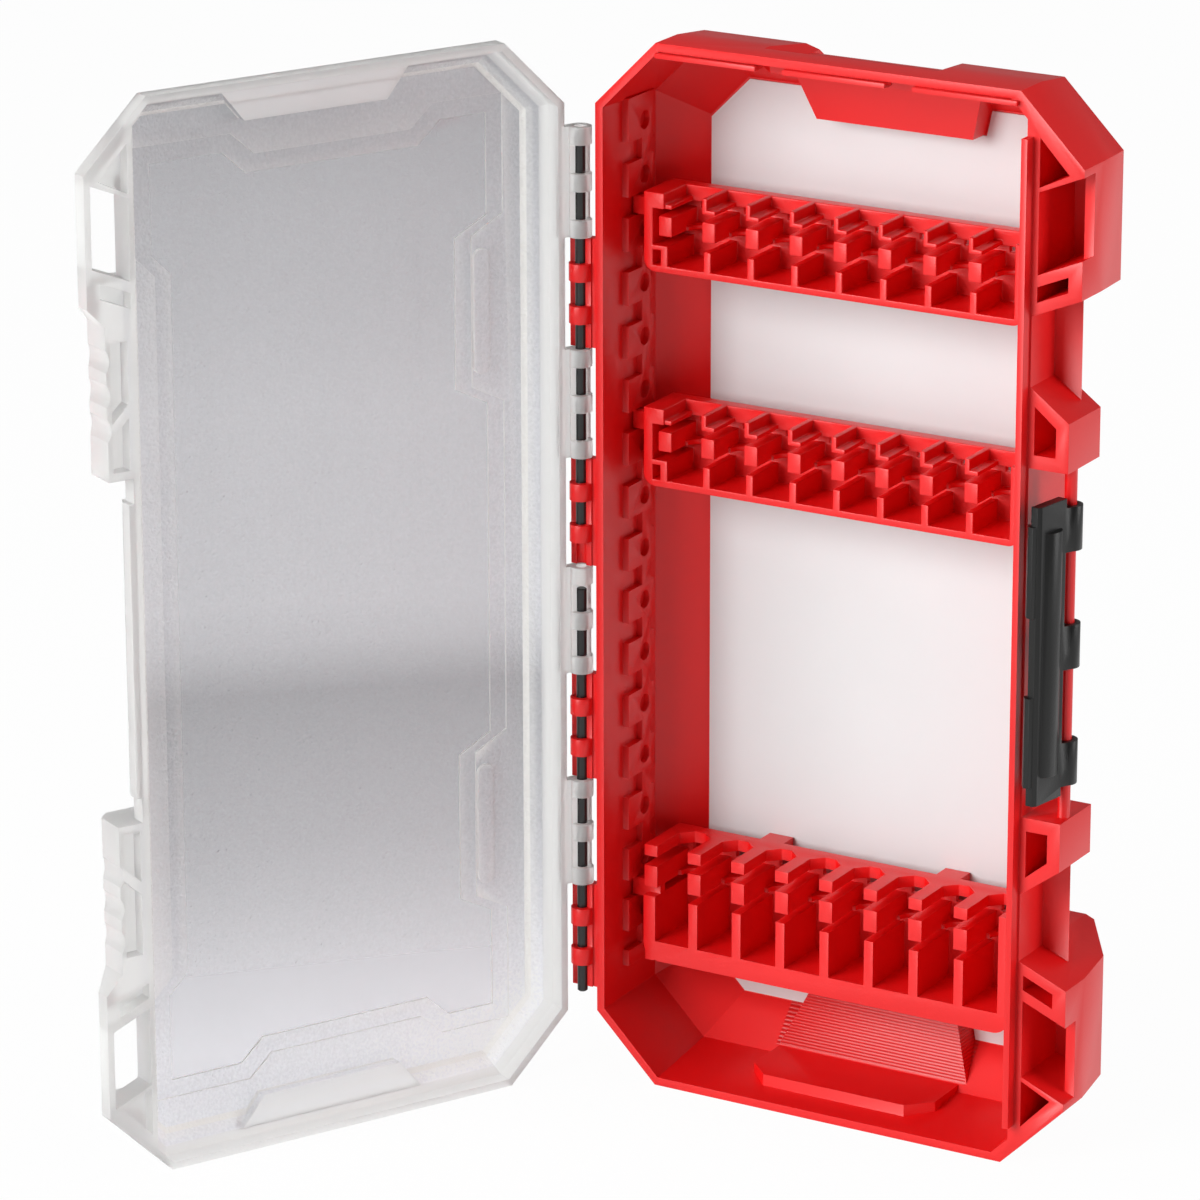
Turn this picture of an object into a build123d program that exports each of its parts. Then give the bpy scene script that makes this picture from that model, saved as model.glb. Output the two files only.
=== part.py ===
import os
from math import cos, radians, sin, sqrt

from build123d import *

# Driver bit case standing on end and open like a book, in millimetres, +Z up.
# The origin is on the floor, in the middle of the tray's width and of its rim band.
# Distances across are counted from the tray's hinge side, and depths from the parting plane.

# Case outline, shared by the tray and the lid
case_height = 256.0
case_width = 124.8
box_width = 112.6
corner_cut = 16.0
wall = 2.0
rim_band = 5.0
parting_gap = 0.3
overrun = 1.0
embed = 0.6
mid = case_height / 2
centre = case_width / 2

# Tray shell
tray_depth = 35.0
straight_depth = 10.0
shoulder_depth = 23.2
shoulder_inset = 1.7
hinge_side_inset = 0.6
back_inset = 10.0
cavity_draft_depth = 23.8
cavity_end_draft = 2.0
cavity_side_draft = 0.4
cavity_cut = 4.2
floor_depth = 33.0
floor_inset = 10.0
lip_height = 3.0
lip_width = 1.5
lip_end = 10.0
end_lip_height = 1.2
end_lip_length = 26.0
end_lip_pitch = 33.0
end_lip_gap = 0.2
end_lip_width = 1.1
end_lip_root = 2.4

# Grip ledges and plateaus in the middle of both tray ends
grip_centre = 60.6
ledge_front = 7.2
ledge_height = 5.4
ledge_half = 24.6
ledge_cut = 5.6
ledge_taper = 3.0
plateau_foot_depth = 25.4
plateau_lean = 1.0
plateau_height = 20.0
plateau_near = 36.0
plateau_far = 87.0
plateau_tip_near = 43.5
plateau_tip_far = 83.8
recess_start = 7.4
recess_slope = 1.8
recess_drop = 3.4
recess_bend_depth = 21.5
recess_foot_drop = 4.3
recess_back_depth = 27.4
recess_back_drop = 6.8
recess_end_drop = 12.0
recess_half = 22.2
recess_floor_half = 17.8

# Bumpers and latch bosses on the latch side
slant_share = 0.42
bumper_end = 77.0
frame_gap = 1.2
pocket_depth = 18.0
window_low = 86.1
window_high = 105.1
window_reach = 122.4
window_step = 5.5
window_step_start = 116.2
slot_low = 79.8
slot_high = 83.4
slot_reach = 121.4
triangle_low = 106.6
triangle_high = 118.0
triangle_reach = 121.2
plate_depth = 12.0
plate_reach = 119.5
plate_back = 21.5
side_shoulder = 21.0
side_back_inset = 8.5
boss_low = 41.7
boss_side_high = 53.4
boss_wall_high = 61.0
boss_reach = 122.4
boss_depth = 16.0
boss_wall = 1.6
boss_pocket_depth = 11.0

# Latch rod and latch
rod_across = 120.6
rod_depth = 5.4
rod_radius = 1.45
running_clearance = 0.05
latch_half = 35.5
latch_reach = 14.6
latch_inner = 0.9
latch_outer = 1.5
latch_edge = 3.4
latch_ring = 1.35
latch_mouth = 1.1
hook_length = 2.0
hook_drop = 2.0
hook_gap_half = 9.5
hook_end = 4.5
ridge_start = 5.2
ridge_width = 6.2
ridge_height = 1.5
ridge_end = 6.5
ridge_shares = ((0, 0), (0.1, 0.55), (0.28, 0.9), (0.5, 1), (0.72, 0.9), (0.9, 0.55), (1, 0))
clip_length = 10.5
clip_pitch = 28.0
rest_lean = 10.2
lock_turn = 12.0
keeper_gap = 0.5
keeper_half = 35.0
keeper_across = 115.6

# Hinge
hinge_offset = 4.0
knuckle_radius = 2.75
pin_radius = 1.25
knuckle_length = 26.6
knuckle_gap = 0.3
knuckle_groups = 8
ring_length = 4.2
web = 2.2
pin_top_inset = 1.5
pin_middle_gap = 5.6
pin_stub = 1.2
open_angle = 117.0

# Lid shell
lid_depth = 11.0
lid_band = 4.3
lid_inset = 6.7
lid_wall = 1.8
lid_panel = 1.8
lid_wall_clearance = 0.4
side_block_reach = 120.5
side_block_low = 41.0
scallop_radius = 4.2
scallop_depth = 0.9
scallop_pitch = 8.0
scallop_count = 3
lid_pocket = 3.6
lid_window_depth = 6.5
lid_window_reach = 123.2
block_pocket_near = 115.0
block_pocket_far = 119.2
block_pocket_slant = 4.0
block_pocket_low = 43.0
block_pocket_split = 54.4
block_pocket_high = 73.0
block_pocket_rib = 1.6
panel_step = 0.45
panel_hinge = 15.5
panel_free = 103.4
panel_jog = 4.8
panel_jog_height = 44.0
panel_end = 18.0
panel_notch = 5.4
panel_notch_half = 28.5
panel_notch_floor_half = 22.5
bay_low = 40.6
bay_high = 85.8
bay_depth = 8.6
bay_slope = 4.4
border = 4.2
bar_width = 4.4
bar_length = 30.0
bar_height = 0.9
grip_half = 25.0
grip_end_half = 18.5
grip_low = 10.4
grip_height = 3.4

# Rack rails on both inner side walls
rail_height = 1.8
rail_front = 8.8
rail_back = 20.8
rail_end = 25.1
rail_top_extra = 6.4
rail_pitch = 13.0
notch_height = 5.0
notch_depth = 6.4
rail_hole_radius = 2.2
rail_hole_depth = 16.4

# Racks
rack_length = 98.4
rack_front = 10.0
rack_slots = 8
rack_skin = 1.6
post_width = 3.5
post_setback = 0.6
arm_foot_height = 1.1
arm_setback = 0.6
top_bar_depth = 3.4
saddle_depth = 5.0
saddle_height = 1.2
key_height = 4.4
key_setback = 2.6
key_depth = 2.3
slide_clearance = 0.3
pocket_roof = 1.2
hang_tab_width = 6.4
hang_tab_lines = (2, 6)
short_rack = {
    "height": 19.0,
    "back": 24.0,
    "band": 1.7,
    "round": 3.0,
    "cap": 2.4,
    "cap_high": 19.0,
    "first": 5.4,
    "divider": 1.9,
    "divider_high": 6.5,
    "post_low": 8.6,
    "post_high": 13.4,
    "arm_low": 15.2,
    "arm": 1.3,
    "gusset": 0,
    "key": 14.7,
}
tall_rack = {
    "height": 29.2,
    "back": 27.5,
    "band": 5.0,
    "round": 4.5,
    "cap": 3.2,
    "cap_high": 16.4,
    "first": 1.7,
    "divider": 2.4,
    "divider_high": 16.4,
    "post_low": 18.6,
    "post_high": 23.9,
    "arm_low": 26.4,
    "arm": 3.5,
    "gusset": 3.4,
    "key": 17.2,
}
rack_notches = {"rack_upper": 14, "rack_middle": 10, "rack_lower": 1}

# Insert card
card_thickness = 0.4
card_clearance = 0.4


def across(distance):
    return distance - case_width / 2


def behind(depth):
    return depth - rim_band / 2


def depth_plane(depth):
    return Plane.XZ.offset(-behind(depth))


def inset_cut(inset):
    return corner_cut - inset * (2 - sqrt(2))


def outline(near, far, end, near_cut, far_cut):
    low, high = end, case_height - end
    return [
        (across(near), low + near_cut),
        (across(near + near_cut), low),
        (across(far - far_cut), low),
        (across(far), low + far_cut),
        (across(far), high - far_cut),
        (across(far - far_cut), high),
        (across(near + near_cut), high),
        (across(near), high - near_cut),
    ]


def side_points(side, points):
    return [(across(x), mid + side * z) for x, z in points]


def slanted(x, z):
    return (x, z + slant_share * (x - box_width))


def slanted_box(x_low, x_high, z_low, z_high):
    corners = [(x_low, z_low), (x_high, z_low), (x_high, z_high), (x_low, z_high)]
    return [slanted(x, z) for x, z in corners]


def latch_point(u, v, lean):
    turn = radians(lean)
    along, out = (-sin(turn), -cos(turn)), (cos(turn), -sin(turn))
    x = across(rod_across) + u * along[0] + v * out[0]
    y = behind(rod_depth) + u * along[1] + v * out[1]
    return (x, y)


triangle = [
    (box_width + frame_gap, triangle_low),
    slanted(triangle_reach, triangle_low),
    (box_width + frame_gap, triangle_high),
]
window = slanted_box(box_width + frame_gap, window_reach, window_low, window_high)
window_notch = slanted_box(window_step_start, case_width + overrun, window_low, window_high)
slot = slanted_box(box_width + frame_gap, slot_reach, slot_low, slot_high)
lid_window = slanted_box(box_width + frame_gap, lid_window_reach, window_low, window_high)
block_pockets = [
    [
        (block_pocket_near, block_pocket_split + block_pocket_slant),
        (block_pocket_far, block_pocket_split),
        (block_pocket_far, block_pocket_high),
        (block_pocket_near, block_pocket_high),
    ],
    [
        (block_pocket_near, block_pocket_low),
        (block_pocket_far, block_pocket_low),
        (block_pocket_far, block_pocket_split - 2 * block_pocket_rib),
        (block_pocket_near, block_pocket_split + block_pocket_slant - 2 * block_pocket_rib),
    ],
]
recess_flare = slant_share * (case_width + overrun - box_width)
recess_root = box_width - side_back_inset - overrun
side_recess = [
    (recess_root, -bumper_end),
    (box_width, -bumper_end),
    (case_width + overrun, -bumper_end - recess_flare),
    (case_width + overrun, bumper_end + recess_flare),
    (box_width, bumper_end),
    (recess_root, bumper_end),
]
boss = [
    (box_width - embed, boss_low),
    (boss_reach, boss_low),
    (boss_reach, boss_side_high),
    (box_width - embed, boss_wall_high),
]
boss_pocket = [
    (box_width + frame_gap, boss_low + boss_wall * 2),
    (boss_reach - boss_wall * 2, boss_low + boss_wall * 2),
    (boss_reach - boss_wall * 2, boss_side_high - boss_wall),
    (box_width + frame_gap, boss_wall_high - boss_wall * 3),
]
cavity_front = outline(wall, box_width - wall, wall, inset_cut(wall), cavity_cut)
cavity_back = outline(
    wall + cavity_side_draft,
    box_width - wall - cavity_side_draft,
    wall + cavity_end_draft,
    inset_cut(wall + cavity_end_draft),
    cavity_cut,
)
floor_near = wall + floor_inset
floor_far = box_width - wall - floor_inset
floor_end = wall + cavity_end_draft + floor_inset
floor_outline = outline(floor_near, floor_far, floor_end, inset_cut(floor_inset), cavity_cut / 2)
hinge_start = mid - knuckle_length * knuckle_groups / 2
hinge_point = (across(-hinge_offset), behind(0))

# Outer shape of the tray
with BuildPart() as shell:
    with BuildSketch(depth_plane(straight_depth)):
        Polygon(*outline(0, case_width, 0, corner_cut, corner_cut), align=None)
    extrude(amount=straight_depth)
    with BuildSketch(depth_plane(straight_depth)):
        Polygon(*outline(0, case_width, 0, corner_cut, corner_cut), align=None)
    shoulder_cut = inset_cut(shoulder_inset)
    shoulder = outline(
        hinge_side_inset, case_width - shoulder_inset, shoulder_inset, shoulder_cut, shoulder_cut
    )
    with BuildSketch(depth_plane(shoulder_depth)):
        Polygon(*shoulder, align=None)
    loft(ruled=True)
    with BuildSketch(depth_plane(shoulder_depth)):
        Polygon(*shoulder, align=None)
    back_cut = inset_cut(back_inset)
    with BuildSketch(depth_plane(tray_depth)):
        Polygon(
            *outline(back_inset, case_width - back_inset, back_inset, back_cut, back_cut), align=None
        )
    loft(ruled=True)

# Plateau of the lower tray end, with its steep face
with BuildPart() as plateau:
    with BuildSketch(depth_plane(floor_depth + embed)):
        Polygon(
            (across(plateau_near), wall - embed),
            (across(plateau_far), wall - embed),
            (across(plateau_far), ledge_height),
            (across(plateau_tip_far), plateau_height),
            (across(plateau_tip_near), plateau_height),
            (across(plateau_near), ledge_height),
            align=None,
        )
    extrude(amount=floor_depth + embed - ledge_front)
    with BuildSketch(Plane.YZ):
        Polygon(
            (behind(plateau_foot_depth), wall - embed),
            (behind(plateau_foot_depth), ledge_height),
            (behind(plateau_foot_depth + plateau_lean), plateau_height),
            (behind(floor_depth + embed), plateau_height),
            (behind(floor_depth + embed), wall - embed),
            align=None,
        )
    extrude(amount=case_width, both=True, mode=Mode.INTERSECT)
    add(shell.part, mode=Mode.INTERSECT)

# Ledge of the lower tray end, with cut corners
with BuildPart() as ledge:
    with BuildSketch(Plane.XY.offset(wall - embed)):
        Polygon(
            (across(grip_centre - ledge_half + ledge_cut), behind(ledge_front)),
            (across(grip_centre + ledge_half - ledge_cut), behind(ledge_front)),
            (across(grip_centre + ledge_half), behind(ledge_front + ledge_cut)),
            (across(grip_centre + ledge_half), behind(floor_depth - ledge_cut)),
            (across(grip_centre - ledge_half), behind(floor_depth - ledge_cut)),
            (across(grip_centre - ledge_half), behind(ledge_front + ledge_cut)),
            align=None,
        )
    extrude(amount=ledge_height - wall + embed, taper=ledge_taper)
    add(shell.part, mode=Mode.INTERSECT)

# Cutter for the finger recess outside the lower tray end
with BuildPart() as recess_cutter:
    with BuildSketch(depth_plane(tray_depth + overrun)):
        Polygon(
            (across(centre - recess_half), 0),
            (across(centre - recess_floor_half), recess_drop),
            (across(centre - recess_floor_half), recess_end_drop + overrun),
            (across(centre + recess_floor_half), recess_end_drop + overrun),
            (across(centre + recess_floor_half), recess_drop),
            (across(centre + recess_half), 0),
            (across(centre + recess_half), -overrun),
            (across(centre - recess_half), -overrun),
            align=None,
        )
    extrude(amount=tray_depth + overrun)
    with BuildSketch(Plane.YZ):
        Polygon(
            (behind(recess_start), -overrun),
            (behind(recess_start), 0),
            (behind(recess_start + recess_slope), recess_drop),
            (behind(recess_bend_depth), recess_drop),
            (behind(plateau_foot_depth), recess_foot_drop),
            (behind(recess_back_depth), recess_back_drop),
            (behind(tray_depth), recess_end_drop),
            (behind(tray_depth + overrun), recess_end_drop),
            (behind(tray_depth + overrun), -overrun),
            align=None,
        )
    extrude(amount=case_width, both=True, mode=Mode.INTERSECT)

# Rail plate with its front notches, round holes and rear scallops, lying on the hinge side wall
rail_length = case_height - 2 * rail_end
rail_count = round(rail_length / rail_pitch)
rail_run = rail_count * rail_pitch + rail_top_extra
notch_places = [rail_end + (n + 0.5) * rail_pitch for n in range(rail_count)]
with BuildPart() as rail:
    with BuildSketch(Plane.YZ.offset(across(wall - embed))):
        with Locations((behind((rail_front + rail_back) / 2), rail_end + rail_run / 2)):
            Rectangle(rail_back - rail_front, rail_run)
        with Locations([(behind(rail_front + notch_depth / 2), z) for z in notch_places]):
            Rectangle(notch_depth, notch_height, mode=Mode.SUBTRACT)
        with Locations([(behind(rail_hole_depth), z + rail_pitch / 2) for z in notch_places]):
            Circle(rail_hole_radius, mode=Mode.SUBTRACT)
        with Locations([(behind(rail_back), z) for z in notch_places]):
            Circle(rail_hole_radius, mode=Mode.SUBTRACT)
    extrude(amount=rail_height + embed)


def knuckle_bands(first):
    groups = range(first, knuckle_groups, 2)
    return [hinge_start + n * knuckle_length + knuckle_gap / 2 for n in groups]


# Cutter for the side recess, which leaves the box wall and its back bevel
with BuildPart() as side_cutter:
    with BuildSketch(depth_plane(tray_depth + overrun)):
        Polygon(*side_points(1, side_recess), align=None)
    extrude(amount=tray_depth + 2 * overrun)
    with BuildSketch(Plane.XY):
        Polygon(
            (across(0), behind(-2 * overrun)),
            (across(box_width), behind(-2 * overrun)),
            (across(box_width), behind(side_shoulder)),
            (across(box_width - side_back_inset), behind(tray_depth)),
            (across(box_width - side_back_inset), behind(tray_depth + 2 * overrun)),
            (across(0), behind(tray_depth + 2 * overrun)),
            align=None,
        )
    extrude(amount=case_height, mode=Mode.SUBTRACT)

# Tray
with BuildPart() as tray:
    add(shell.part)
    # Side recess for the latch, with the wedge plates beside the latch
    add(side_cutter.part, mode=Mode.SUBTRACT)
    for side in (-1, 1):
        low = mid + side * boss_low
        with BuildSketch(Plane.XY.offset(low)):
            Polygon(
                (across(box_width - embed), behind(plate_depth)),
                (across(plate_reach), behind(plate_depth)),
                (across(box_width - embed), behind(plate_back)),
                align=None,
            )
        extrude(amount=side * (bumper_end - boss_low + slant_share * (plate_reach - box_width)))
    # Cavity
    with BuildSketch(depth_plane(0)):
        Polygon(*cavity_front, align=None)
    with BuildSketch(depth_plane(cavity_draft_depth)):
        Polygon(*cavity_back, align=None)
    loft(ruled=True, mode=Mode.SUBTRACT)
    with BuildSketch(depth_plane(cavity_draft_depth)):
        Polygon(*cavity_back, align=None)
    with BuildSketch(depth_plane(floor_depth)):
        Polygon(*floor_outline, align=None)
    loft(ruled=True, mode=Mode.SUBTRACT)
    # Ledges, plateaus and rails
    add(ledge.part)
    add(plateau.part)
    mirror(ledge.part, about=Plane.XY.offset(mid))
    mirror(plateau.part, about=Plane.XY.offset(mid))
    add(rail.part)
    mirror(rail.part, about=Plane.YZ.offset(across(box_width / 2)))
    # Finger recess in the middle of each end
    add(recess_cutter.part, mode=Mode.SUBTRACT)
    mirror(recess_cutter.part, about=Plane.XY.offset(mid), mode=Mode.SUBTRACT)
    for side in (-1, 1):
        # Bumper pockets
        for pocket in (triangle, window, slot):
            with BuildSketch(depth_plane(pocket_depth)):
                Polygon(*side_points(side, pocket), align=None)
            extrude(amount=pocket_depth + overrun, mode=Mode.SUBTRACT)
        with BuildSketch(depth_plane(window_step)):
            Polygon(*side_points(side, window_notch), align=None)
        extrude(amount=window_step + overrun, mode=Mode.SUBTRACT)
        # Latch boss with its pocket
        with BuildSketch(depth_plane(boss_depth)):
            Polygon(*side_points(side, boss), align=None)
        extrude(amount=boss_depth)
        with BuildSketch(depth_plane(boss_pocket_depth)):
            Polygon(*side_points(side, boss_pocket), align=None)
        extrude(amount=boss_pocket_depth + overrun, mode=Mode.SUBTRACT)
    # Interrupted lip inside the upper end wall
    lip_face = case_height - wall - end_lip_gap
    for n in (-1, 0, 1):
        with BuildSketch(Plane.YZ.offset(across(centre + n * end_lip_pitch - end_lip_length / 2))):
            Polygon(
                (behind(-end_lip_height), lip_face),
                (behind(-end_lip_height), lip_face - end_lip_width),
                (behind(end_lip_root), lip_face - end_lip_width),
                (behind(end_lip_root + end_lip_width), case_height - wall + embed),
                (behind(embed), case_height - wall + embed),
                (behind(embed), lip_face),
                align=None,
            )
        extrude(amount=end_lip_length)
    # Lip along the latch side wall
    with BuildSketch(depth_plane(overrun)):
        with Locations((across(box_width - wall + lip_width / 2), mid)):
            Rectangle(lip_width, case_height - 2 * lip_end)
    extrude(amount=lip_height + overrun)
    # Latch rod
    with BuildSketch(Plane.XY.offset(mid - boss_low - embed)):
        with Locations((across(rod_across), behind(rod_depth))):
            Circle(rod_radius)
    extrude(amount=2 * (boss_low + embed))
    # Hinge knuckles, open towards the front between their rings
    for low in knuckle_bands(0):
        length = knuckle_length - knuckle_gap
        with BuildSketch(Plane.XY.offset(low)):
            with Locations(hinge_point):
                Circle(knuckle_radius)
            with Locations((across(-hinge_offset / 2 + embed / 2), behind(knuckle_radius - web / 2))):
                Rectangle(hinge_offset + embed, web)
        extrude(amount=length)
        gap = (length - 2 * ring_length) / 3
        for n in range(3):
            with BuildSketch(Plane.XY.offset(low + n * (gap + ring_length))):
                with Locations((hinge_point[0], behind(-knuckle_radius / 2))):
                    Rectangle(2 * knuckle_radius + overrun, knuckle_radius)
            extrude(amount=gap, mode=Mode.SUBTRACT)
    with BuildSketch(Plane.XY):
        with Locations(hinge_point):
            Circle(pin_radius + running_clearance)
    extrude(amount=case_height, mode=Mode.SUBTRACT)
tray.part.label = "tray"

# Lid, drawn closed on the tray and swung open about the hinge
lid_free = box_width - wall + lip_width + lid_wall_clearance
lid_inner = outline(lid_wall, lid_free, lid_wall, inset_cut(lid_wall), cavity_cut)
lid_slope = lid_depth - lid_panel - lid_band
lid_floor_end = lid_wall + lid_slope
lid_floor = outline(
    lid_floor_end, lid_free - lid_slope, lid_floor_end, inset_cut(lid_floor_end), cavity_cut / 2
)


def panel_outline(spread):
    hinge, free = panel_hinge - spread, panel_free + spread
    end = panel_end - spread
    top = case_height - end
    notch = panel_notch_half - spread / 2
    notch_floor = panel_notch_floor_half - spread / 2
    half_box = box_width / 2
    bay = bay_depth
    points = []
    for side in (-1, 1):
        half = [
            (free - panel_jog, side * (mid - panel_jog_height)),
            (free, side * (mid - panel_jog_height + panel_jog)),
            (free, side * (mid - end)),
            (half_box + notch, side * (mid - end)),
            (half_box + notch_floor, side * (mid - end - panel_notch)),
            (half_box - notch_floor, side * (mid - end - panel_notch)),
            (half_box - notch, side * (mid - end)),
            (hinge, side * (mid - end)),
            (hinge, side * bay_high),
            (hinge + bay, side * (bay_high - bay_slope)),
            (hinge + bay, side * (bay_low + bay_slope)),
            (hinge, side * bay_low),
        ]
        points += half if side < 0 else half[::-1]
    return side_points(1, points)


with BuildPart() as lid:
    with BuildSketch(depth_plane(-parting_gap)):
        Polygon(*outline(0, case_width, 0, corner_cut, corner_cut), align=None)
    extrude(amount=lid_band - parting_gap)
    with BuildSketch(depth_plane(-lid_band)):
        Polygon(*outline(0, case_width, 0, corner_cut, corner_cut), align=None)
    lid_cut = inset_cut(lid_inset)
    with BuildSketch(depth_plane(-lid_depth)):
        Polygon(*outline(lid_inset, case_width - lid_inset, lid_inset, lid_cut, lid_cut), align=None)
    loft(ruled=True)
    # Cavity with sloped sides
    with BuildSketch(depth_plane(0)):
        Polygon(*lid_inner, align=None)
    extrude(amount=lid_band, mode=Mode.SUBTRACT)
    with BuildSketch(depth_plane(-lid_band)):
        Polygon(*lid_inner, align=None)
    with BuildSketch(depth_plane(-lid_depth + lid_panel)):
        Polygon(*lid_floor, align=None)
    loft(ruled=True, mode=Mode.SUBTRACT)
    # Stepped panel border
    with BuildSketch(depth_plane(-lid_depth + lid_panel + panel_step)):
        Polygon(*panel_outline(border), align=None)
    extrude(amount=2 * panel_step, mode=Mode.SUBTRACT)
    with BuildSketch(depth_plane(-lid_depth + lid_panel + panel_step)):
        Polygon(*panel_outline(0), align=None)
    extrude(amount=3 * panel_step, mode=Mode.SUBTRACT)
    # Latch zone, with the shallower side blocks on both sides of it
    lid_side = lid_free + lid_wall
    with BuildSketch(Plane.XY.offset(mid)):
        Polygon(
            (across(lid_side), behind(overrun)),
            (across(lid_side), behind(-lid_band)),
            (across(lid_side - lid_inset), behind(-lid_depth)),
            (across(lid_side - lid_inset), behind(-lid_depth - overrun)),
            (across(case_width + overrun), behind(-lid_depth - overrun)),
            (across(case_width + overrun), behind(overrun)),
            align=None,
        )
    extrude(amount=side_block_low, both=True, mode=Mode.SUBTRACT)
    block_recess = [
        (side_block_reach, -bumper_end),
        (case_width + overrun, -bumper_end - recess_flare),
        (case_width + overrun, bumper_end + recess_flare),
        (side_block_reach, bumper_end),
    ]
    with BuildSketch(depth_plane(overrun)):
        Polygon(*side_points(1, block_recess), align=None)
    extrude(amount=lid_depth + 2 * overrun, mode=Mode.SUBTRACT)
    for side in (-1, 1):
        with BuildSketch(depth_plane(overrun)):
            Polygon(*side_points(side, lid_window), align=None)
        extrude(amount=lid_depth + 2 * overrun, mode=Mode.SUBTRACT)
        # Shallower outside round the window
        window_rise = lid_depth + overrun - lid_window_depth
        with BuildSketch(Plane.XY.offset(mid + side * window_low)):
            Polygon(
                (across(lid_side), behind(-lid_window_depth)),
                (across(lid_side - window_rise), behind(-lid_depth - overrun)),
                (across(case_width + overrun), behind(-lid_depth - overrun)),
                (across(case_width + overrun), behind(-lid_window_depth)),
                align=None,
            )
        window_run = window_high - window_low + slant_share * (lid_window_reach - box_width)
        extrude(amount=side * window_run, mode=Mode.SUBTRACT)
        for pocket in (triangle, slot, *block_pockets):
            with BuildSketch(depth_plane(overrun)):
                Polygon(*side_points(side, pocket), align=None)
            extrude(amount=lid_pocket + overrun, mode=Mode.SUBTRACT)
        with BuildSketch(depth_plane(overrun)):
            first = bumper_end - scallop_pitch
            edge = side_block_reach + scallop_radius - scallop_depth
            places = [(edge, first - n * scallop_pitch) for n in range(scallop_count)]
            with Locations(side_points(side, places)):
                Circle(scallop_radius)
        extrude(amount=lid_depth + 2 * overrun, mode=Mode.SUBTRACT)
        # Grip plateau in the middle of the end
        with BuildSketch(depth_plane(-lid_depth + lid_panel / 2)):
            Polygon(
                *side_points(
                    side,
                    [
                        (centre - grip_half, mid - lid_wall - embed),
                        (centre - grip_end_half, mid - grip_low),
                        (centre + grip_end_half, mid - grip_low),
                        (centre + grip_half, mid - lid_wall - embed),
                    ],
                ),
                align=None,
            )
        extrude(amount=-(grip_height + lid_panel / 2))
        # Oblong bar in the bay
        with BuildSketch(depth_plane(-lid_depth + lid_panel / 2)):
            bar_place = (panel_hinge + bay_depth / 4, (bay_low + bay_high) / 2)
            with Locations(side_points(side, [bar_place])):
                SlotOverall(bar_length, bar_width, rotation=90)
        extrude(amount=-(bar_height + lid_panel / 2))
    # Keeper that the latch hooks over
    lock = rest_lean + lock_turn
    inner = latch_inner + keeper_gap
    catch = latch_reach - hook_length - keeper_gap
    nose = latch_point(catch, -inner, lock)
    heel = latch_point(catch, -hook_drop, lock)
    shank = latch_point(0, -inner, lock)
    face = (across(keeper_across) - shank[0]) / (nose[0] - shank[0])
    with BuildSketch(Plane.XY.offset(mid - keeper_half)):
        Polygon(
            (across(lid_side - embed), behind(-parting_gap)),
            (across(keeper_across), behind(-parting_gap)),
            (across(keeper_across), shank[1] + face * (nose[1] - shank[1])),
            nose,
            heel,
            (across(lid_side - embed), heel[1]),
            align=None,
        )
    extrude(amount=2 * keeper_half)
    # Hinge knuckles, open towards the tray between their rings
    for low in knuckle_bands(1):
        length = knuckle_length - knuckle_gap
        with BuildSketch(Plane.XY.offset(low)):
            with Locations(hinge_point):
                Circle(knuckle_radius)
            with Locations((across(-hinge_offset / 2 + embed / 2), behind(web / 2 - knuckle_radius))):
                Rectangle(hinge_offset + embed, web)
        extrude(amount=length)
        gap = (length - 3 * ring_length) / 2
        for n in range(2):
            with BuildSketch(Plane.XY.offset(low + ring_length + n * (gap + ring_length))):
                with Locations((hinge_point[0], behind(knuckle_radius / 2))):
                    Rectangle(2 * knuckle_radius + overrun, knuckle_radius)
            extrude(amount=gap, mode=Mode.SUBTRACT)
    with BuildSketch(Plane.XY):
        with Locations(hinge_point):
            Circle(pin_radius + running_clearance)
    extrude(amount=case_height, mode=Mode.SUBTRACT)
lid_open = lid.part.rotate(Axis((*hinge_point, 0), (0, 0, 1)), -open_angle)
lid_open.label = "lid"

# Hinge pins
hinge_top = hinge_start + knuckle_length * knuckle_groups
pin_spans = {
    "hinge_pin_upper": (mid + pin_middle_gap, hinge_top - pin_top_inset),
    "hinge_pin_lower": (hinge_start - pin_stub, mid - pin_middle_gap),
}
pins = []
for name, (low, high) in pin_spans.items():
    with BuildPart() as pin:
        with BuildSketch(Plane.XY.offset(low)):
            with Locations(hinge_point):
                Circle(pin_radius)
        extrude(amount=high - low)
        chamfer(pin.edges().filter_by(GeomType.CIRCLE), length=pin_radius / 4)
    pin.part.label = name
    pins.append(pin.part)

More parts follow.
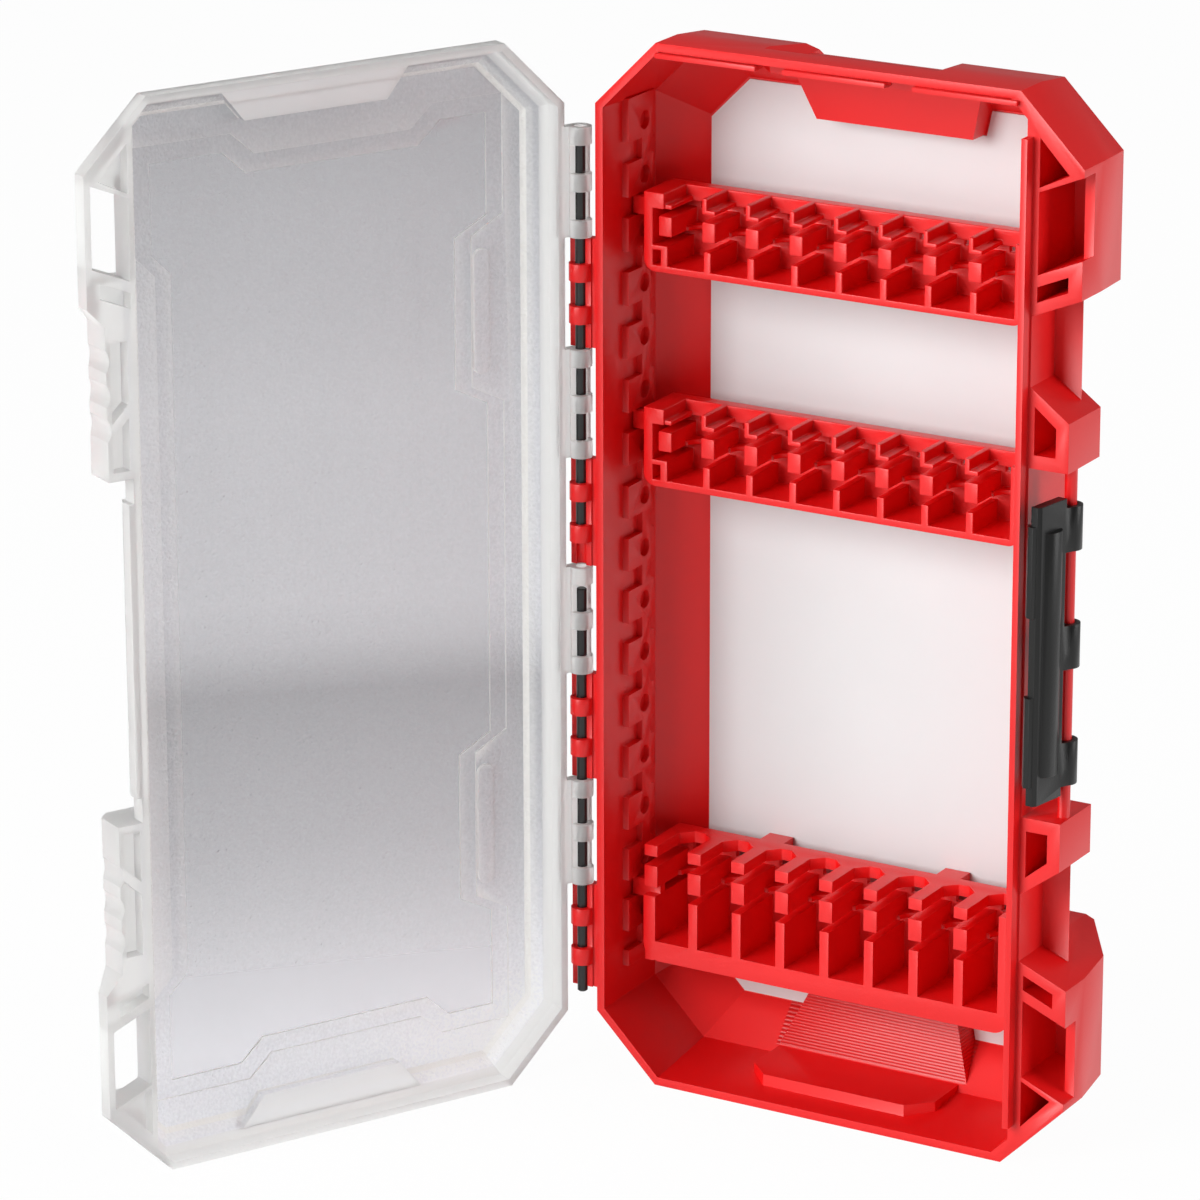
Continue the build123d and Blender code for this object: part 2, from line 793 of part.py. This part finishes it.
# Latch, drawn at rest with its hook leaning in front of the tray's rim
with BuildPart() as latch:
    with BuildSketch(Plane.XY.offset(mid - latch_half)):
        Polygon(
            latch_point(latch_edge, latch_outer, rest_lean),
            latch_point(latch_reach - hook_length, latch_outer, rest_lean),
            latch_point(latch_reach - hook_length / 2, latch_inner, rest_lean),
            latch_point(latch_reach - hook_length / 2, -latch_inner, rest_lean),
            latch_point(latch_edge, -latch_inner, rest_lean),
            align=None,
        )
    extrude(amount=2 * latch_half)
    # Hook in two stretches
    hook_far = latch_half - hook_end
    for side in (-1, 1):
        with BuildSketch(Plane.XY.offset(mid + side * (hook_far + hook_gap_half) / 2)):
            Polygon(
                latch_point(latch_reach, latch_inner / 2, rest_lean),
                latch_point(latch_reach - hook_length, latch_inner, rest_lean),
                latch_point(latch_reach - hook_length, -hook_drop, rest_lean),
                latch_point(latch_reach - hook_length / 2, -hook_drop, rest_lean),
                latch_point(latch_reach, -latch_inner, rest_lean),
                align=None,
            )
        extrude(amount=(hook_far - hook_gap_half) / 2, both=True)
    # Rounded finger ridge
    with BuildSketch(Plane.XY.offset(mid - latch_half + ridge_end)):
        crest = [
            (ridge_start + along * ridge_width, latch_outer + rise * ridge_height)
            for along, rise in ridge_shares
        ]
        foot = [(ridge_start + ridge_width, 0), (ridge_start, 0)]
        Polygon(*[latch_point(u, v, rest_lean) for u, v in crest + foot], align=None)
    extrude(amount=2 * (latch_half - ridge_end))
    # Three clips round the rod, each with a snap mouth on its inner side
    rod_point = latch_point(0, 0, rest_lean)
    ring_radius = rod_radius + running_clearance + latch_ring
    for n in (-1, 0, 1):
        with BuildSketch(Plane.XY.offset(mid + n * clip_pitch - clip_length / 2)):
            with Locations(rod_point):
                Circle(ring_radius)
            Polygon(
                latch_point(0, ring_radius, rest_lean),
                latch_point(latch_edge + embed, latch_outer, rest_lean),
                latch_point(latch_edge + embed, -latch_inner, rest_lean),
                latch_point(0, 0, rest_lean),
                align=None,
            )
            Polygon(
                latch_point(-2 * ring_radius, -ring_radius - overrun, rest_lean),
                latch_point(latch_mouth, -ring_radius - overrun, rest_lean),
                latch_point(latch_mouth / 2, -latch_mouth, rest_lean),
                latch_point(-latch_mouth / 2, -latch_mouth, rest_lean),
                align=None,
                mode=Mode.SUBTRACT,
            )
        extrude(amount=clip_length)
    with BuildSketch(Plane.XY):
        with Locations(rod_point):
            Circle(rod_radius + running_clearance)
    extrude(amount=case_height, mode=Mode.SUBTRACT)
latch.part.label = "latch"

# Racks that hang in the rail notches by their end keys
def make_rack(label, shape):
    base = notch_places[rack_notches[label]] - shape["key"]
    height, back = shape["height"], shape["back"]
    middle = across(box_width / 2)
    left = middle - rack_length / 2
    right = middle + rack_length / 2
    pitch = (rack_length - shape["first"] - shape["cap"] / 2) / rack_slots
    lines = [left + shape["first"] + n * pitch for n in range(rack_slots)]
    front_y, back_y = behind(rack_front), behind(back)
    inner_y = back_y - rack_skin
    with BuildPart() as rack:
        # Frame with rounded lower corners, hollowed from the front
        with BuildSketch(depth_plane(back)) as frame:
            with Locations((middle, base + height / 2)):
                Rectangle(rack_length, height)
            fillet(frame.vertices().group_by(Axis.Y)[0], shape["round"])
        extrude(amount=back - rack_front)
        with BuildSketch(depth_plane(back - rack_skin)):
            Polygon(
                (left + shape["cap"], base + shape["band"]),
                (right - shape["cap"], base + shape["band"]),
                (right - shape["cap"], base + height + overrun),
                (left - overrun, base + height + overrun),
                (left - overrun, base + shape["cap_high"]),
                (left + shape["cap"], base + shape["cap_high"]),
                align=None,
            )
        extrude(amount=back - rack_skin - rack_front + overrun, mode=Mode.SUBTRACT)
        # Dividers
        with Locations([(x, (front_y + back_y) / 2, base + shape["divider_high"] / 2) for x in lines]):
            Box(shape["divider"], back_y - front_y, shape["divider_high"])
        # Square posts
        post_z = base + (shape["post_low"] + shape["post_high"]) / 2
        with Locations([(x, (front_y + post_setback + back_y) / 2, post_z) for x in lines]):
            Box(post_width, back_y - front_y - post_setback, shape["post_high"] - shape["post_low"])
        # Arms with a foot on the short rack and a gusset at the root on the tall rack
        arm_z = base + (shape["arm_low"] + height) / 2
        arm_height = height - shape["arm_low"]
        for x in lines:
            with BuildSketch(depth_plane(back - rack_skin / 2)):
                with Locations((x - (post_width - shape["arm"]) / 2, arm_z)):
                    Rectangle(shape["arm"], arm_height)
                with Locations((x, base + shape["arm_low"] + arm_foot_height / 2)):
                    Rectangle(post_width, arm_foot_height)
            extrude(amount=back - rack_skin / 2 - rack_front - arm_setback)
        with Locations((middle, back_y - top_bar_depth / 2, arm_z)):
            Box(rack_length, top_bar_depth, arm_height)
        root_y = back_y - top_bar_depth + embed
        reach = post_width / 2 + shape["gusset"]
        for x in lines if shape["gusset"] else []:
            for way in (-1, 1):
                if left <= x + way * reach <= right:
                    with BuildSketch(Plane.XY.offset(base + shape["arm_low"])):
                        Polygon((x, root_y), (x + way * reach, root_y), (x, root_y - reach), align=None)
                    extrude(amount=arm_height)
        # Saddles behind the posts, cut round for a hexagon bit
        saddle_z = base + shape["post_low"] + saddle_height / 2
        spots = [x + pitch / 2 for x in lines]
        with Locations([(x, inner_y - saddle_depth / 2 + embed / 2, saddle_z) for x in spots]):
            Box(pitch - shape["divider"], saddle_depth + embed, saddle_height)
        with Locations([(x, inner_y - saddle_depth, saddle_z) for x in spots]):
            Cylinder(saddle_depth * 2 / 3, saddle_height + embed, mode=Mode.SUBTRACT)
        # Windows in the back wall
        gap_low = shape["post_high"]
        gap_height = shape["arm_low"] - gap_low
        with Locations([(x, back_y - rack_skin / 2, base + gap_low + gap_height / 2) for x in spots]):
            Box(pitch / 2, rack_skin + embed, gap_height, mode=Mode.SUBTRACT)
        # End keys in the rail notches
        key_end = across(wall + cavity_side_draft + slide_clearance)
        key_width = left + shape["cap"] - key_end
        key_x = middle - (key_end + key_width / 2)
        key_y = front_y + key_setback + key_depth / 2
        with Locations([(middle + way * key_x, key_y, base + shape["key"]) for way in (-1, 1)]):
            Box(key_width, key_depth, key_height)
        if shape["cap_high"] < height:
            # Rear tabs that reach the insert card
            tab_reach = floor_depth - card_thickness - slide_clearance - back
            places = [(lines[n], back_y + tab_reach / 2 - embed / 2, arm_z) for n in hang_tab_lines]
            with Locations(places):
                Box(hang_tab_width, tab_reach + embed, arm_height)
        else:
            # Roof of the small pocket beside the end cap
            roof_z = base + shape["divider_high"] - pocket_roof / 2
            with Locations((left + shape["first"] / 2, (front_y + back_y) / 2, roof_z)):
                Box(shape["first"], back_y - front_y, pocket_roof)
            # Top plate that joins the first arm to the end cap
            with Locations((left + shape["first"] / 2, (front_y + back_y) / 2, arm_z)):
                Box(shape["first"], back_y - front_y, arm_height)
    rack.part.label = label
    return rack.part


rack_upper = make_rack("rack_upper", short_rack)
rack_middle = make_rack("rack_middle", short_rack)
rack_lower = make_rack("rack_lower", tall_rack)

# Insert card on the tray floor, cut out round the plateaus
with BuildPart() as insert_card:
    with BuildSketch(depth_plane(floor_depth)):
        Polygon(
            *outline(
                floor_near + card_clearance,
                floor_far - card_clearance,
                floor_end + card_clearance,
                inset_cut(floor_inset),
                cavity_cut / 2,
            ),
            align=None,
        )
        for side in (-1, 1):
            tip = mid - plateau_height - card_clearance
            Polygon(
                *side_points(
                    side,
                    [
                        (plateau_near - card_clearance, mid),
                        (plateau_near - card_clearance, mid - ledge_height),
                        (plateau_tip_near - card_clearance, tip),
                        (plateau_tip_far + card_clearance, tip),
                        (plateau_far + card_clearance, mid - ledge_height),
                        (plateau_far + card_clearance, mid),
                    ],
                ),
                align=None,
                mode=Mode.SUBTRACT,
            )
    extrude(amount=card_thickness)
insert_card.part.label = "insert_card"

os.makedirs("parts", exist_ok=True)
export_step(tray.part, "parts/tray.step")
export_step(lid_open, "parts/lid.step")
for pin in pins:
    export_step(pin, f"parts/{pin.label}.step")
export_step(latch.part, "parts/latch.step")
for rack in (rack_upper, rack_middle, rack_lower):
    export_step(rack, f"parts/{rack.label}.step")
export_step(insert_card.part, "parts/insert_card.step")
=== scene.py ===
import math

import bmesh
import bpy
from mathutils import Matrix, Vector


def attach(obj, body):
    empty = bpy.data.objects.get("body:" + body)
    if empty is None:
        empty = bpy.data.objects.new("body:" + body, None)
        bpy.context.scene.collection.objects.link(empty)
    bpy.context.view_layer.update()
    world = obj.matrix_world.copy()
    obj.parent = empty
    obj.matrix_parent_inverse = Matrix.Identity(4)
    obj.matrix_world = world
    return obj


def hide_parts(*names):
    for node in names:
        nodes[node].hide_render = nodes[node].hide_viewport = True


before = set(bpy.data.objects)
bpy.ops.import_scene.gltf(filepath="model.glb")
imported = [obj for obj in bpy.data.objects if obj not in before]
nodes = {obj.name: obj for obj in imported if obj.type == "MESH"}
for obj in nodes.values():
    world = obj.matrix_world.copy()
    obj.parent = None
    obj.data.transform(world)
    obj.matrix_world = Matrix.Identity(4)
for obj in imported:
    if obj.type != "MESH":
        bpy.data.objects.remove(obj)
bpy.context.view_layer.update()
mm = 0.001
print("stage: frame loaded")

case = {  # sizes of the solids that the materials follow
    "width": 124.8 * mm,
    "height": 256 * mm,
    "front": -2.5 * mm,
    "hingeX": -66.4 * mm,
    "lidAngle": math.radians(117),  # how far the lid stands open at rest
}


# Node helpers: a keyword names a socket, i0, i1 and so on count them
def add(tree, kind, settings=None, **inputs):
    node = tree.nodes.new(kind)
    for key, value in (settings or {}).items():
        setattr(node, key, value)
    for key, value in inputs.items():
        counted = key[0] == "i" and key[1:].isdigit()
        socket = node.inputs[int(key[1:])] if counted else node.inputs[key.replace("_", " ")]
        if isinstance(value, bpy.types.NodeSocket):
            tree.links.new(value, socket)
        else:
            socket.default_value = value
    return node


def math1(tree, operation, a, b=0.0):
    return add(tree, "ShaderNodeMath", {"operation": operation}, i0=a, i1=b).outputs[0]


def times(tree, a, b):
    return math1(tree, "MULTIPLY", a, b)


def remap(tree, value, inLow=0.0, inHigh=1.0, outLow=0.0, outHigh=1.0):
    return add(
        tree, "ShaderNodeMapRange", None, Value=value,
        From_Min=inLow, From_Max=inHigh, To_Min=outLow, To_Max=outHigh,
    ).outputs[0]


def span(tree, value, low, high, soft):  # 1 between low and high, with soft ends
    rise = remap(tree, value, low - soft, low + soft)
    fall = remap(tree, value, high + soft, high - soft)
    return times(tree, rise, fall)


def blend(tree, share, first, second):
    return add(tree, "ShaderNodeMix", {"data_type": "RGBA"}, i0=share, i6=first, i7=second).outputs[2]


def scaled(tree, colour, factor):
    return add(tree, "ShaderNodeVectorMath", {"operation": "SCALE"}, i0=colour, Scale=factor).outputs[0]


# Moulded grain that the opaque pieces share: a fine leather grain and a slow waviness
def makeGrain():
    look = {
        "strength": 0.2, "scale": 2600.0, "depth": 0.12 * mm, "detail": 2.0,
        "waveStrength": 0.1, "waveScale": 38.0, "waveDepth": 0.6 * mm,
    }
    tree = bpy.data.node_groups.new("mouldedGrain", "ShaderNodeTree")
    for label, kind in (("Normal", "NodeSocketVector"), ("Shade", "NodeSocketFloat")):
        tree.interface.new_socket(name=label, in_out="OUTPUT", socket_type=kind)
    for label, value in (("Strength", look["strength"]), ("Scale", look["scale"])):
        socket = tree.interface.new_socket(name=label, in_out="INPUT", socket_type="NodeSocketFloat")
        socket.default_value = value
    source = add(tree, "NodeGroupInput").outputs
    place = add(tree, "ShaderNodeTexCoord").outputs["Object"]
    fine = add(tree, "ShaderNodeTexNoise", None, Vector=place, Scale=source["Scale"], Detail=look["detail"])
    slow = add(tree, "ShaderNodeTexNoise", None, Vector=place, Scale=look["waveScale"], Detail=look["detail"])
    bump = add(tree, "ShaderNodeBump", None, Strength=source["Strength"], Distance=look["depth"],
               Height=fine.outputs[0])
    wave = add(tree, "ShaderNodeBump", None, Strength=look["waveStrength"], Distance=look["waveDepth"],
               Height=slow.outputs[0], Normal=bump.outputs[0])
    add(tree, "NodeGroupOutput", None, Normal=wave.outputs[0], Shade=slow.outputs[0])
    return tree


grainTree = makeGrain()


def startMaterial(name):
    material = bpy.data.materials.new(name)
    material.use_nodes = True
    tree = material.node_tree
    tree.nodes.clear()
    output = tree.nodes.new("ShaderNodeOutputMaterial")
    shader = tree.nodes.new("ShaderNodeBsdfPrincipled")
    tree.links.new(shader.outputs[0], output.inputs[0])
    return material, tree, shader


# Fine ribs across the tray's lower slope, with painted shade: the whole ribbed patch is painted darker as
# shade from the rack above, and the valleys darker still
def addRibs(tree, normal, colour):
    ribs = {
        "left": -27 * mm, "right": 24 * mm, "front": 22.7 * mm, "back": 1.0,
        "low": 5.6 * mm, "high": 20.2 * mm, "soft": 0.2 * mm, "pitch": 0.8 * mm,
        # valley and crest are the painted shade levels across the ribbed patch
        "strength": 0.5, "depth": 0.07 * mm, "valleyShade": 0.66, "crest": 0.86,
    }
    place = add(tree, "ShaderNodeTexCoord").outputs["Object"]
    axes = add(tree, "ShaderNodeSeparateXYZ", None, Vector=place).outputs
    across = span(tree, axes[0], ribs["left"], ribs["right"], ribs["soft"])
    deep = span(tree, axes[1], ribs["front"], ribs["back"], ribs["soft"])
    low = span(tree, axes[2], ribs["low"], ribs["high"], ribs["soft"])
    patch = times(tree, times(tree, across, deep), low)
    wave = math1(tree, "SINE", times(tree, axes[2], 2 * math.pi / ribs["pitch"]))
    bump = add(tree, "ShaderNodeBump", None, Strength=ribs["strength"], Distance=ribs["depth"],
               Height=times(tree, patch, wave), Normal=normal)
    # painted shade: the ribbed patch darkened, most in the rib valleys
    paintedShade = remap(tree, wave, -1.0, 1.0, ribs["valleyShade"], ribs["crest"])
    return bump.outputs[0], scaled(tree, colour, remap(tree, patch, outLow=1.0, outHigh=paintedShade))


# Opaque material with the grain
def grained(look):
    material, tree, shader = startMaterial(look["name"])
    grains = add(tree, "ShaderNodeGroup", {"node_tree": grainTree}, Strength=look["grain"],
                 Scale=look["scale"]).outputs
    normal = grains["Normal"]
    colour = blend(tree, grains["Shade"], look["dark"], look["light"])
    # the ribs also bring painted shade to the ribbed patch
    if look.get("ribbed"):
        normal, colour = addRibs(tree, normal, colour)
    tree.links.new(normal, shader.inputs["Normal"])
    tree.links.new(colour, shader.inputs["Base Color"])
    shader.inputs["Roughness"].default_value = look["roughness"]
    shader.inputs["Specular IOR Level"].default_value = look["specular"]
    return material


red = {
    "dark": (0.73, 0.0036, 0.0046, 1), "light": (0.79, 0.0052, 0.0058, 1),
    "scale": 2600.0, "specular": 0.55,
}
trayRed = grained({"name": "trayRed", "grain": 0.16, "roughness": 0.38, "ribbed": True, **red})
rackRed = grained({"name": "rackRed", "grain": 0.5, "roughness": 0.36, **red})
latchBlack = grained({
    "name": "latchBlack", "dark": (0.004, 0.004, 0.004, 1), "light": (0.009, 0.009, 0.0085, 1),
    "grain": 0.3, "scale": 2200.0, "roughness": 0.34, "specular": 0.35,
})
pinBlack = grained({
    "name": "pinBlack", "dark": (0.006, 0.006, 0.006, 1), "light": (0.016, 0.016, 0.016, 1),
    "grain": 0.25, "scale": 1800.0, "roughness": 0.3, "specular": 0.5,
})
cardWhite = grained({
    "name": "cardWhite", "dark": (0.66, 0.685, 0.69, 1), "light": (0.69, 0.715, 0.72, 1),
    "grain": 0.12, "scale": 900.0, "roughness": 0.55, "specular": 0.5,
})


# Clear lid: glossy panel carrying painted shade by height (the grey backdrop seen through it), pebbled
# border, painted highlight along the step lines, smooth pale rim
def lidPlastic():
    look = {
        "rim": (0.90, 0.90, 0.89, 1),
        # pale colour of the painted highlight along the step lines
        "edge": (0.96, 0.95, 0.93, 1),
        "backdropLevels": [  # height in mm and level of the painted shade on the lid floor: the grey backdrop seen through it
            (18, 0.92), (40, 0.785), (55, 0.68), (70, 0.6), (85, 0.556), (106, 0.485), (118, 0.655),
            (128, 0.71), (160, 0.69), (175, 0.685), (190, 0.645), (205, 0.61), (220, 0.583), (240, 0.525),
        ],
        # slight cool cast of the painted backdrop shade
        "backdropTint": (0.985, 0.99, 1.03),
        "slant": 0.12,  # rise of the painted shade across the lid
        "pebbleScale": 1300.0,
        "pebbleDetail": 1.0,
        "pebbleStrength": 0.7,
        "pebbleDepth": 0.4 * mm,
        "pebbleRange": (0.3, 0.7),
        "pebbleTones": (1.04, 0.9),
        "hingeLift": 1.2,  # painted light: the border is painted paler beside the hinge
        "freeLift": 1.04,
        "liftReach": 60 * mm,
        "borderRough": 0.36,
        "panelRough": 0.1,
        "edgeRough": 0.8,
        "transmission": 0.72,
        "ior": 1.46,
    }
    zone = {  # where the floor, panel and steps lie in the shut lid
        "inset": 2.2 * mm, "reach": 112.2 * mm, "soft": 0.2 * mm,
        "floor": (-30 * mm, -8.5 * mm, 0.15 * mm),
        "panel": (-12.9 * mm, -12.37 * mm, 0.04 * mm),
        "steps": (-12.95 * mm, -10.6 * mm, 0.1 * mm),
        "flat": 0.995, "steep": 0.93,
    }
    material, tree, shader = startMaterial("lidClear")
    place = add(tree, "ShaderNodeTexCoord").outputs["Object"]
    turned = add(
        tree, "ShaderNodeVectorRotate", {"rotation_type": "Z_AXIS"}, Vector=place,
        Center=(case["hingeX"], case["front"], 0), Angle=case["lidAngle"],
    ).outputs[0]
    axes = add(tree, "ShaderNodeSeparateXYZ", None, Vector=turned).outputs
    left = -case["width"] / 2
    inside = times(
        tree, span(tree, axes[0], left + zone["inset"], left + zone["reach"], zone["soft"]),
        span(tree, axes[2], zone["inset"], case["height"] - zone["inset"], zone["soft"]),
    )
    panel = times(tree, inside, span(tree, axes[1], *zone["panel"]))
    lower = times(tree, inside, span(tree, axes[1], *zone["floor"]))
    border = math1(tree, "SUBTRACT", lower, panel)

    # Step lines: faces near the floor that turn away from the lid's own plane; their pale colour is a painted
    # highlight along the steps
    world = add(tree, "ShaderNodeNewGeometry").outputs["Normal"]
    turn = {"vector_type": "NORMAL", "convert_from": "WORLD", "convert_to": "OBJECT"}
    local = add(tree, "ShaderNodeVectorTransform", turn, Vector=world).outputs[0]
    facing = add(tree, "ShaderNodeVectorMath", {"operation": "DOT_PRODUCT"}, i0=local,
                 i1=(math.sin(case["lidAngle"]), math.cos(case["lidAngle"]), 0)).outputs["Value"]
    steep = remap(tree, math1(tree, "ABSOLUTE", facing), zone["flat"], zone["steep"])
    edges = times(tree, steep, times(tree, inside, span(tree, axes[1], *zone["steps"])))

    # Painted shade by height: the grey backdrop seen through the clear lid, painted into its colour
    height = math1(tree, "SUBTRACT", axes[2], times(tree, axes[0], look["slant"]))
    ramp = add(tree, "ShaderNodeValToRGB", None, Fac=math1(tree, "DIVIDE", height, case["height"]))
    stops = ramp.color_ramp.elements
    for level, paintedShade in look["backdropLevels"]:
        stop = stops.new(level * mm / case["height"])
        stop.color = [paintedShade * share for share in look["backdropTint"]] + [1]
    stops.remove(stops[0])
    stops.remove(stops[-1])

    pebble = add(tree, "ShaderNodeTexNoise", None, Vector=place, Scale=look["pebbleScale"],
                 Detail=look["pebbleDetail"])
    rough = times(tree, border, pebble.outputs[0])
    dimple = remap(tree, rough, *look["pebbleRange"], *look["pebbleTones"])
    # painted light: the border brightened towards the hinge side
    hingeSideLight = remap(tree, axes[0], left, left + look["liftReach"], look["hingeLift"], look["freeLift"])
    borderLight = remap(tree, border, outLow=1.0, outHigh=hingeSideLight)
    # painted backdrop shade, times the pebble tone and the painted light on the border
    backdropShade = scaled(tree, ramp.outputs[0], times(tree, dimple, borderLight))
    # painted highlight: pale colour on the step walls
    stepHighlighted = blend(tree, edges, backdropShade, look["edge"])
    tree.links.new(blend(tree, lower, look["rim"], stepHighlighted), shader.inputs["Base Color"])
    bump = add(tree, "ShaderNodeBump", None, Strength=look["pebbleStrength"], Distance=look["pebbleDepth"],
               Height=rough)
    tree.links.new(bump.outputs[0], shader.inputs["Normal"])
    sheen = remap(tree, panel, outLow=look["borderRough"], outHigh=look["panelRough"])
    matt = math1(tree, "MAXIMUM", sheen, times(tree, edges, look["edgeRough"]))
    tree.links.new(matt, shader.inputs["Roughness"])
    shader.inputs["Transmission Weight"].default_value = look["transmission"]
    shader.inputs["IOR"].default_value = look["ior"]
    return material


lidClear = lidPlastic()
print("stage: materials made")


# A copy of a solid with its edges rounded as the moulding's are
def roundedCopy(piece):
    rounding = {"merge": 0.002 * mm, "flat": math.radians(0.6), "corner": math.radians(28), "segments": 2}
    mesh = nodes[piece["node"]].data.copy()
    shape = bmesh.new()
    shape.from_mesh(mesh)
    bmesh.ops.remove_doubles(shape, verts=shape.verts, dist=rounding["merge"])
    bmesh.ops.dissolve_limit(shape, angle_limit=rounding["flat"], verts=shape.verts, edges=shape.edges)
    shape.to_mesh(mesh)
    shape.free()
    mesh.materials.clear()
    mesh.materials.append(piece["material"])
    for polygon in mesh.polygons:
        polygon.use_smooth = True
    copy = bpy.data.objects.new(piece["name"], mesh)
    bpy.context.scene.collection.objects.link(copy)
    bevel = copy.modifiers.new("roundEdges", "BEVEL")
    bevel.width = piece["radius"]
    bevel.segments = rounding["segments"]
    bevel.limit_method = "ANGLE"
    bevel.angle_limit = rounding["corner"]
    bevel.harden_normals = True
    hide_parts(piece["node"])
    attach(copy, piece["body"])


pieces = [
    {"node": "tray", "name": "trayShell", "body": "tray", "slot": "red_plastic",
     "material": trayRed, "radius": 0.35 * mm},
    {"node": "lid", "name": "lidShell", "body": "lid", "slot": "clear_plastic",
     "material": lidClear, "radius": 0.3 * mm},
    {"node": "latch", "name": "latchLever", "body": "latch", "slot": "black_plastic",
     "material": latchBlack, "radius": 0.25 * mm},
    {"node": "rack_upper", "name": "rackUpper", "body": "rack_upper", "slot": "red_plastic",
     "material": rackRed, "radius": 0.3 * mm},
    {"node": "rack_middle", "name": "rackMiddle", "body": "rack_middle", "slot": "red_plastic",
     "material": rackRed, "radius": 0.3 * mm},
    {"node": "rack_lower", "name": "rackLower", "body": "rack_lower", "slot": "red_plastic",
     "material": rackRed, "radius": 0.3 * mm},
]
for piece in pieces:
    roundedCopy(piece)
plainNodes = {"hinge_pin_upper": pinBlack, "hinge_pin_lower": pinBlack, "insert_card": cardWhite}
for name, material in plainNodes.items():  # these keep their solids as they are
    nodes[name].data.materials.clear()
    nodes[name].data.materials.append(material)
print("stage: pieces dressed")


# Rays that see the white background instead of the lit floor or world
def whiteRays(tree, glossShare):
    path = add(tree, "ShaderNodeLightPath").outputs
    seen = math1(tree, "MAXIMUM", path["Is Camera Ray"], path["Is Transmission Ray"])
    return math1(tree, "MAXIMUM", seen, times(tree, path["Is Glossy Ray"], glossShare))


def makeFloor():
    floor = {
        "size": 6.0, "colour": (0.88, 0.88, 0.88, 1), "roughness": 0.8, "specular": 0.1,
        "white": 0.97, "glossShare": 1.0,
    }
    bpy.ops.mesh.primitive_plane_add(size=floor["size"], location=(0, 0, 0))
    plane = bpy.context.object
    plane.name = "studioFloor"
    material, tree, shader = startMaterial("floorPale")
    shader.inputs["Base Color"].default_value = floor["colour"]
    shader.inputs["Roughness"].default_value = floor["roughness"]
    shader.inputs["Specular IOR Level"].default_value = floor["specular"]
    glow = add(tree, "ShaderNodeEmission", None, Color=(1, 1, 1, 1), Strength=1.0)
    share = times(tree, whiteRays(tree, floor["glossShare"]), floor["white"])
    mix = add(tree, "ShaderNodeMixShader", None, i0=share, i1=shader.outputs[0], i2=glow.outputs[0])
    output = [node for node in tree.nodes if node.type == "OUTPUT_MATERIAL"][0]
    tree.links.new(mix.outputs[0], output.inputs[0])
    plane.data.materials.append(material)


def makeWorld():
    sky = {"light": 0.08, "white": 1.0, "glossShare": 0.15, "colour": (1, 1, 1, 1)}
    world = bpy.data.worlds.new("studioWorld")
    bpy.context.scene.world = world
    world.use_nodes = True
    tree = world.node_tree
    tree.nodes.clear()
    light = add(tree, "ShaderNodeBackground", None, Color=sky["colour"], Strength=sky["light"])
    white = add(tree, "ShaderNodeBackground", None, Color=sky["colour"], Strength=sky["white"])
    seen = whiteRays(tree, sky["glossShare"])
    mix = add(tree, "ShaderNodeMixShader", None, i0=seen, i1=light.outputs[0], i2=white.outputs[0])
    add(tree, "ShaderNodeOutputWorld", None, i0=mix.outputs[0])


def areaLight(light):
    data = bpy.data.lights.new(light["name"], "AREA")
    data.shape = "RECTANGLE"
    data.size, data.size_y = light["size"]
    data.energy = light["energy"]
    lamp = bpy.data.objects.new(light["name"], data)
    bpy.context.scene.collection.objects.link(lamp)
    lamp.location = light["place"]
    aim = Vector(light["aim"]) - Vector(light["place"])
    lamp.rotation_euler = aim.to_track_quat("-Z", "Y").to_euler()


def makeCamera():
    view = {  # fitted to the corners of the tray in the photo
        "place": (641.58 * mm, -1199.39 * mm, 579.04 * mm),
        "azimuth": math.radians(30.4253),
        "elevation": math.radians(18.2946),
        "roll": math.radians(-0.123),
        "focalPixels": 6212.77,
        "photoPixels": 1200,
        "sensor": 36.0,
        "clip": (0.05, 30),
    }
    data = bpy.data.cameras.new("photoCamera")
    data.sensor_width = view["sensor"]
    data.sensor_fit = "HORIZONTAL"
    data.lens = view["focalPixels"] / view["photoPixels"] * view["sensor"]
    data.clip_start, data.clip_end = view["clip"]
    az, el = view["azimuth"], view["elevation"]
    back = Vector((math.sin(az) * math.cos(el), -math.cos(az) * math.cos(el), math.sin(el)))
    right = Vector((math.cos(az), math.sin(az), 0))
    up = back.cross(right)
    turn = Matrix((right, up, back)).transposed() @ Matrix.Rotation(view["roll"], 3, "Z")
    camera = bpy.data.objects.new("photoCamera", data)
    bpy.context.scene.collection.objects.link(camera)
    camera.matrix_world = Matrix.Translation(view["place"]) @ turn.to_4x4()
    bpy.context.scene.camera = camera


makeFloor()
lights = [
    {"name": "frontLight", "size": (1.3, 1.3), "energy": 54,
     "place": (-0.85, -1.9, 0.9), "aim": (0, 0, 0.12)},
    {"name": "sideLight", "size": (1.0, 1.4), "energy": 20,
     "place": (1.8, 0.45, 0.6), "aim": (0, 0, 0.12)},
    {"name": "topLight", "size": (1.4, 1.4), "energy": 9,
     "place": (0.1, 0.2, 1.9), "aim": (0, 0, 0.1)},
]
for light in lights:
    areaLight(light)
makeWorld()
makeCamera()
bpy.context.scene.view_settings.view_transform = "Standard"
print("stage: studio set")

bpy.context.view_layer.update()
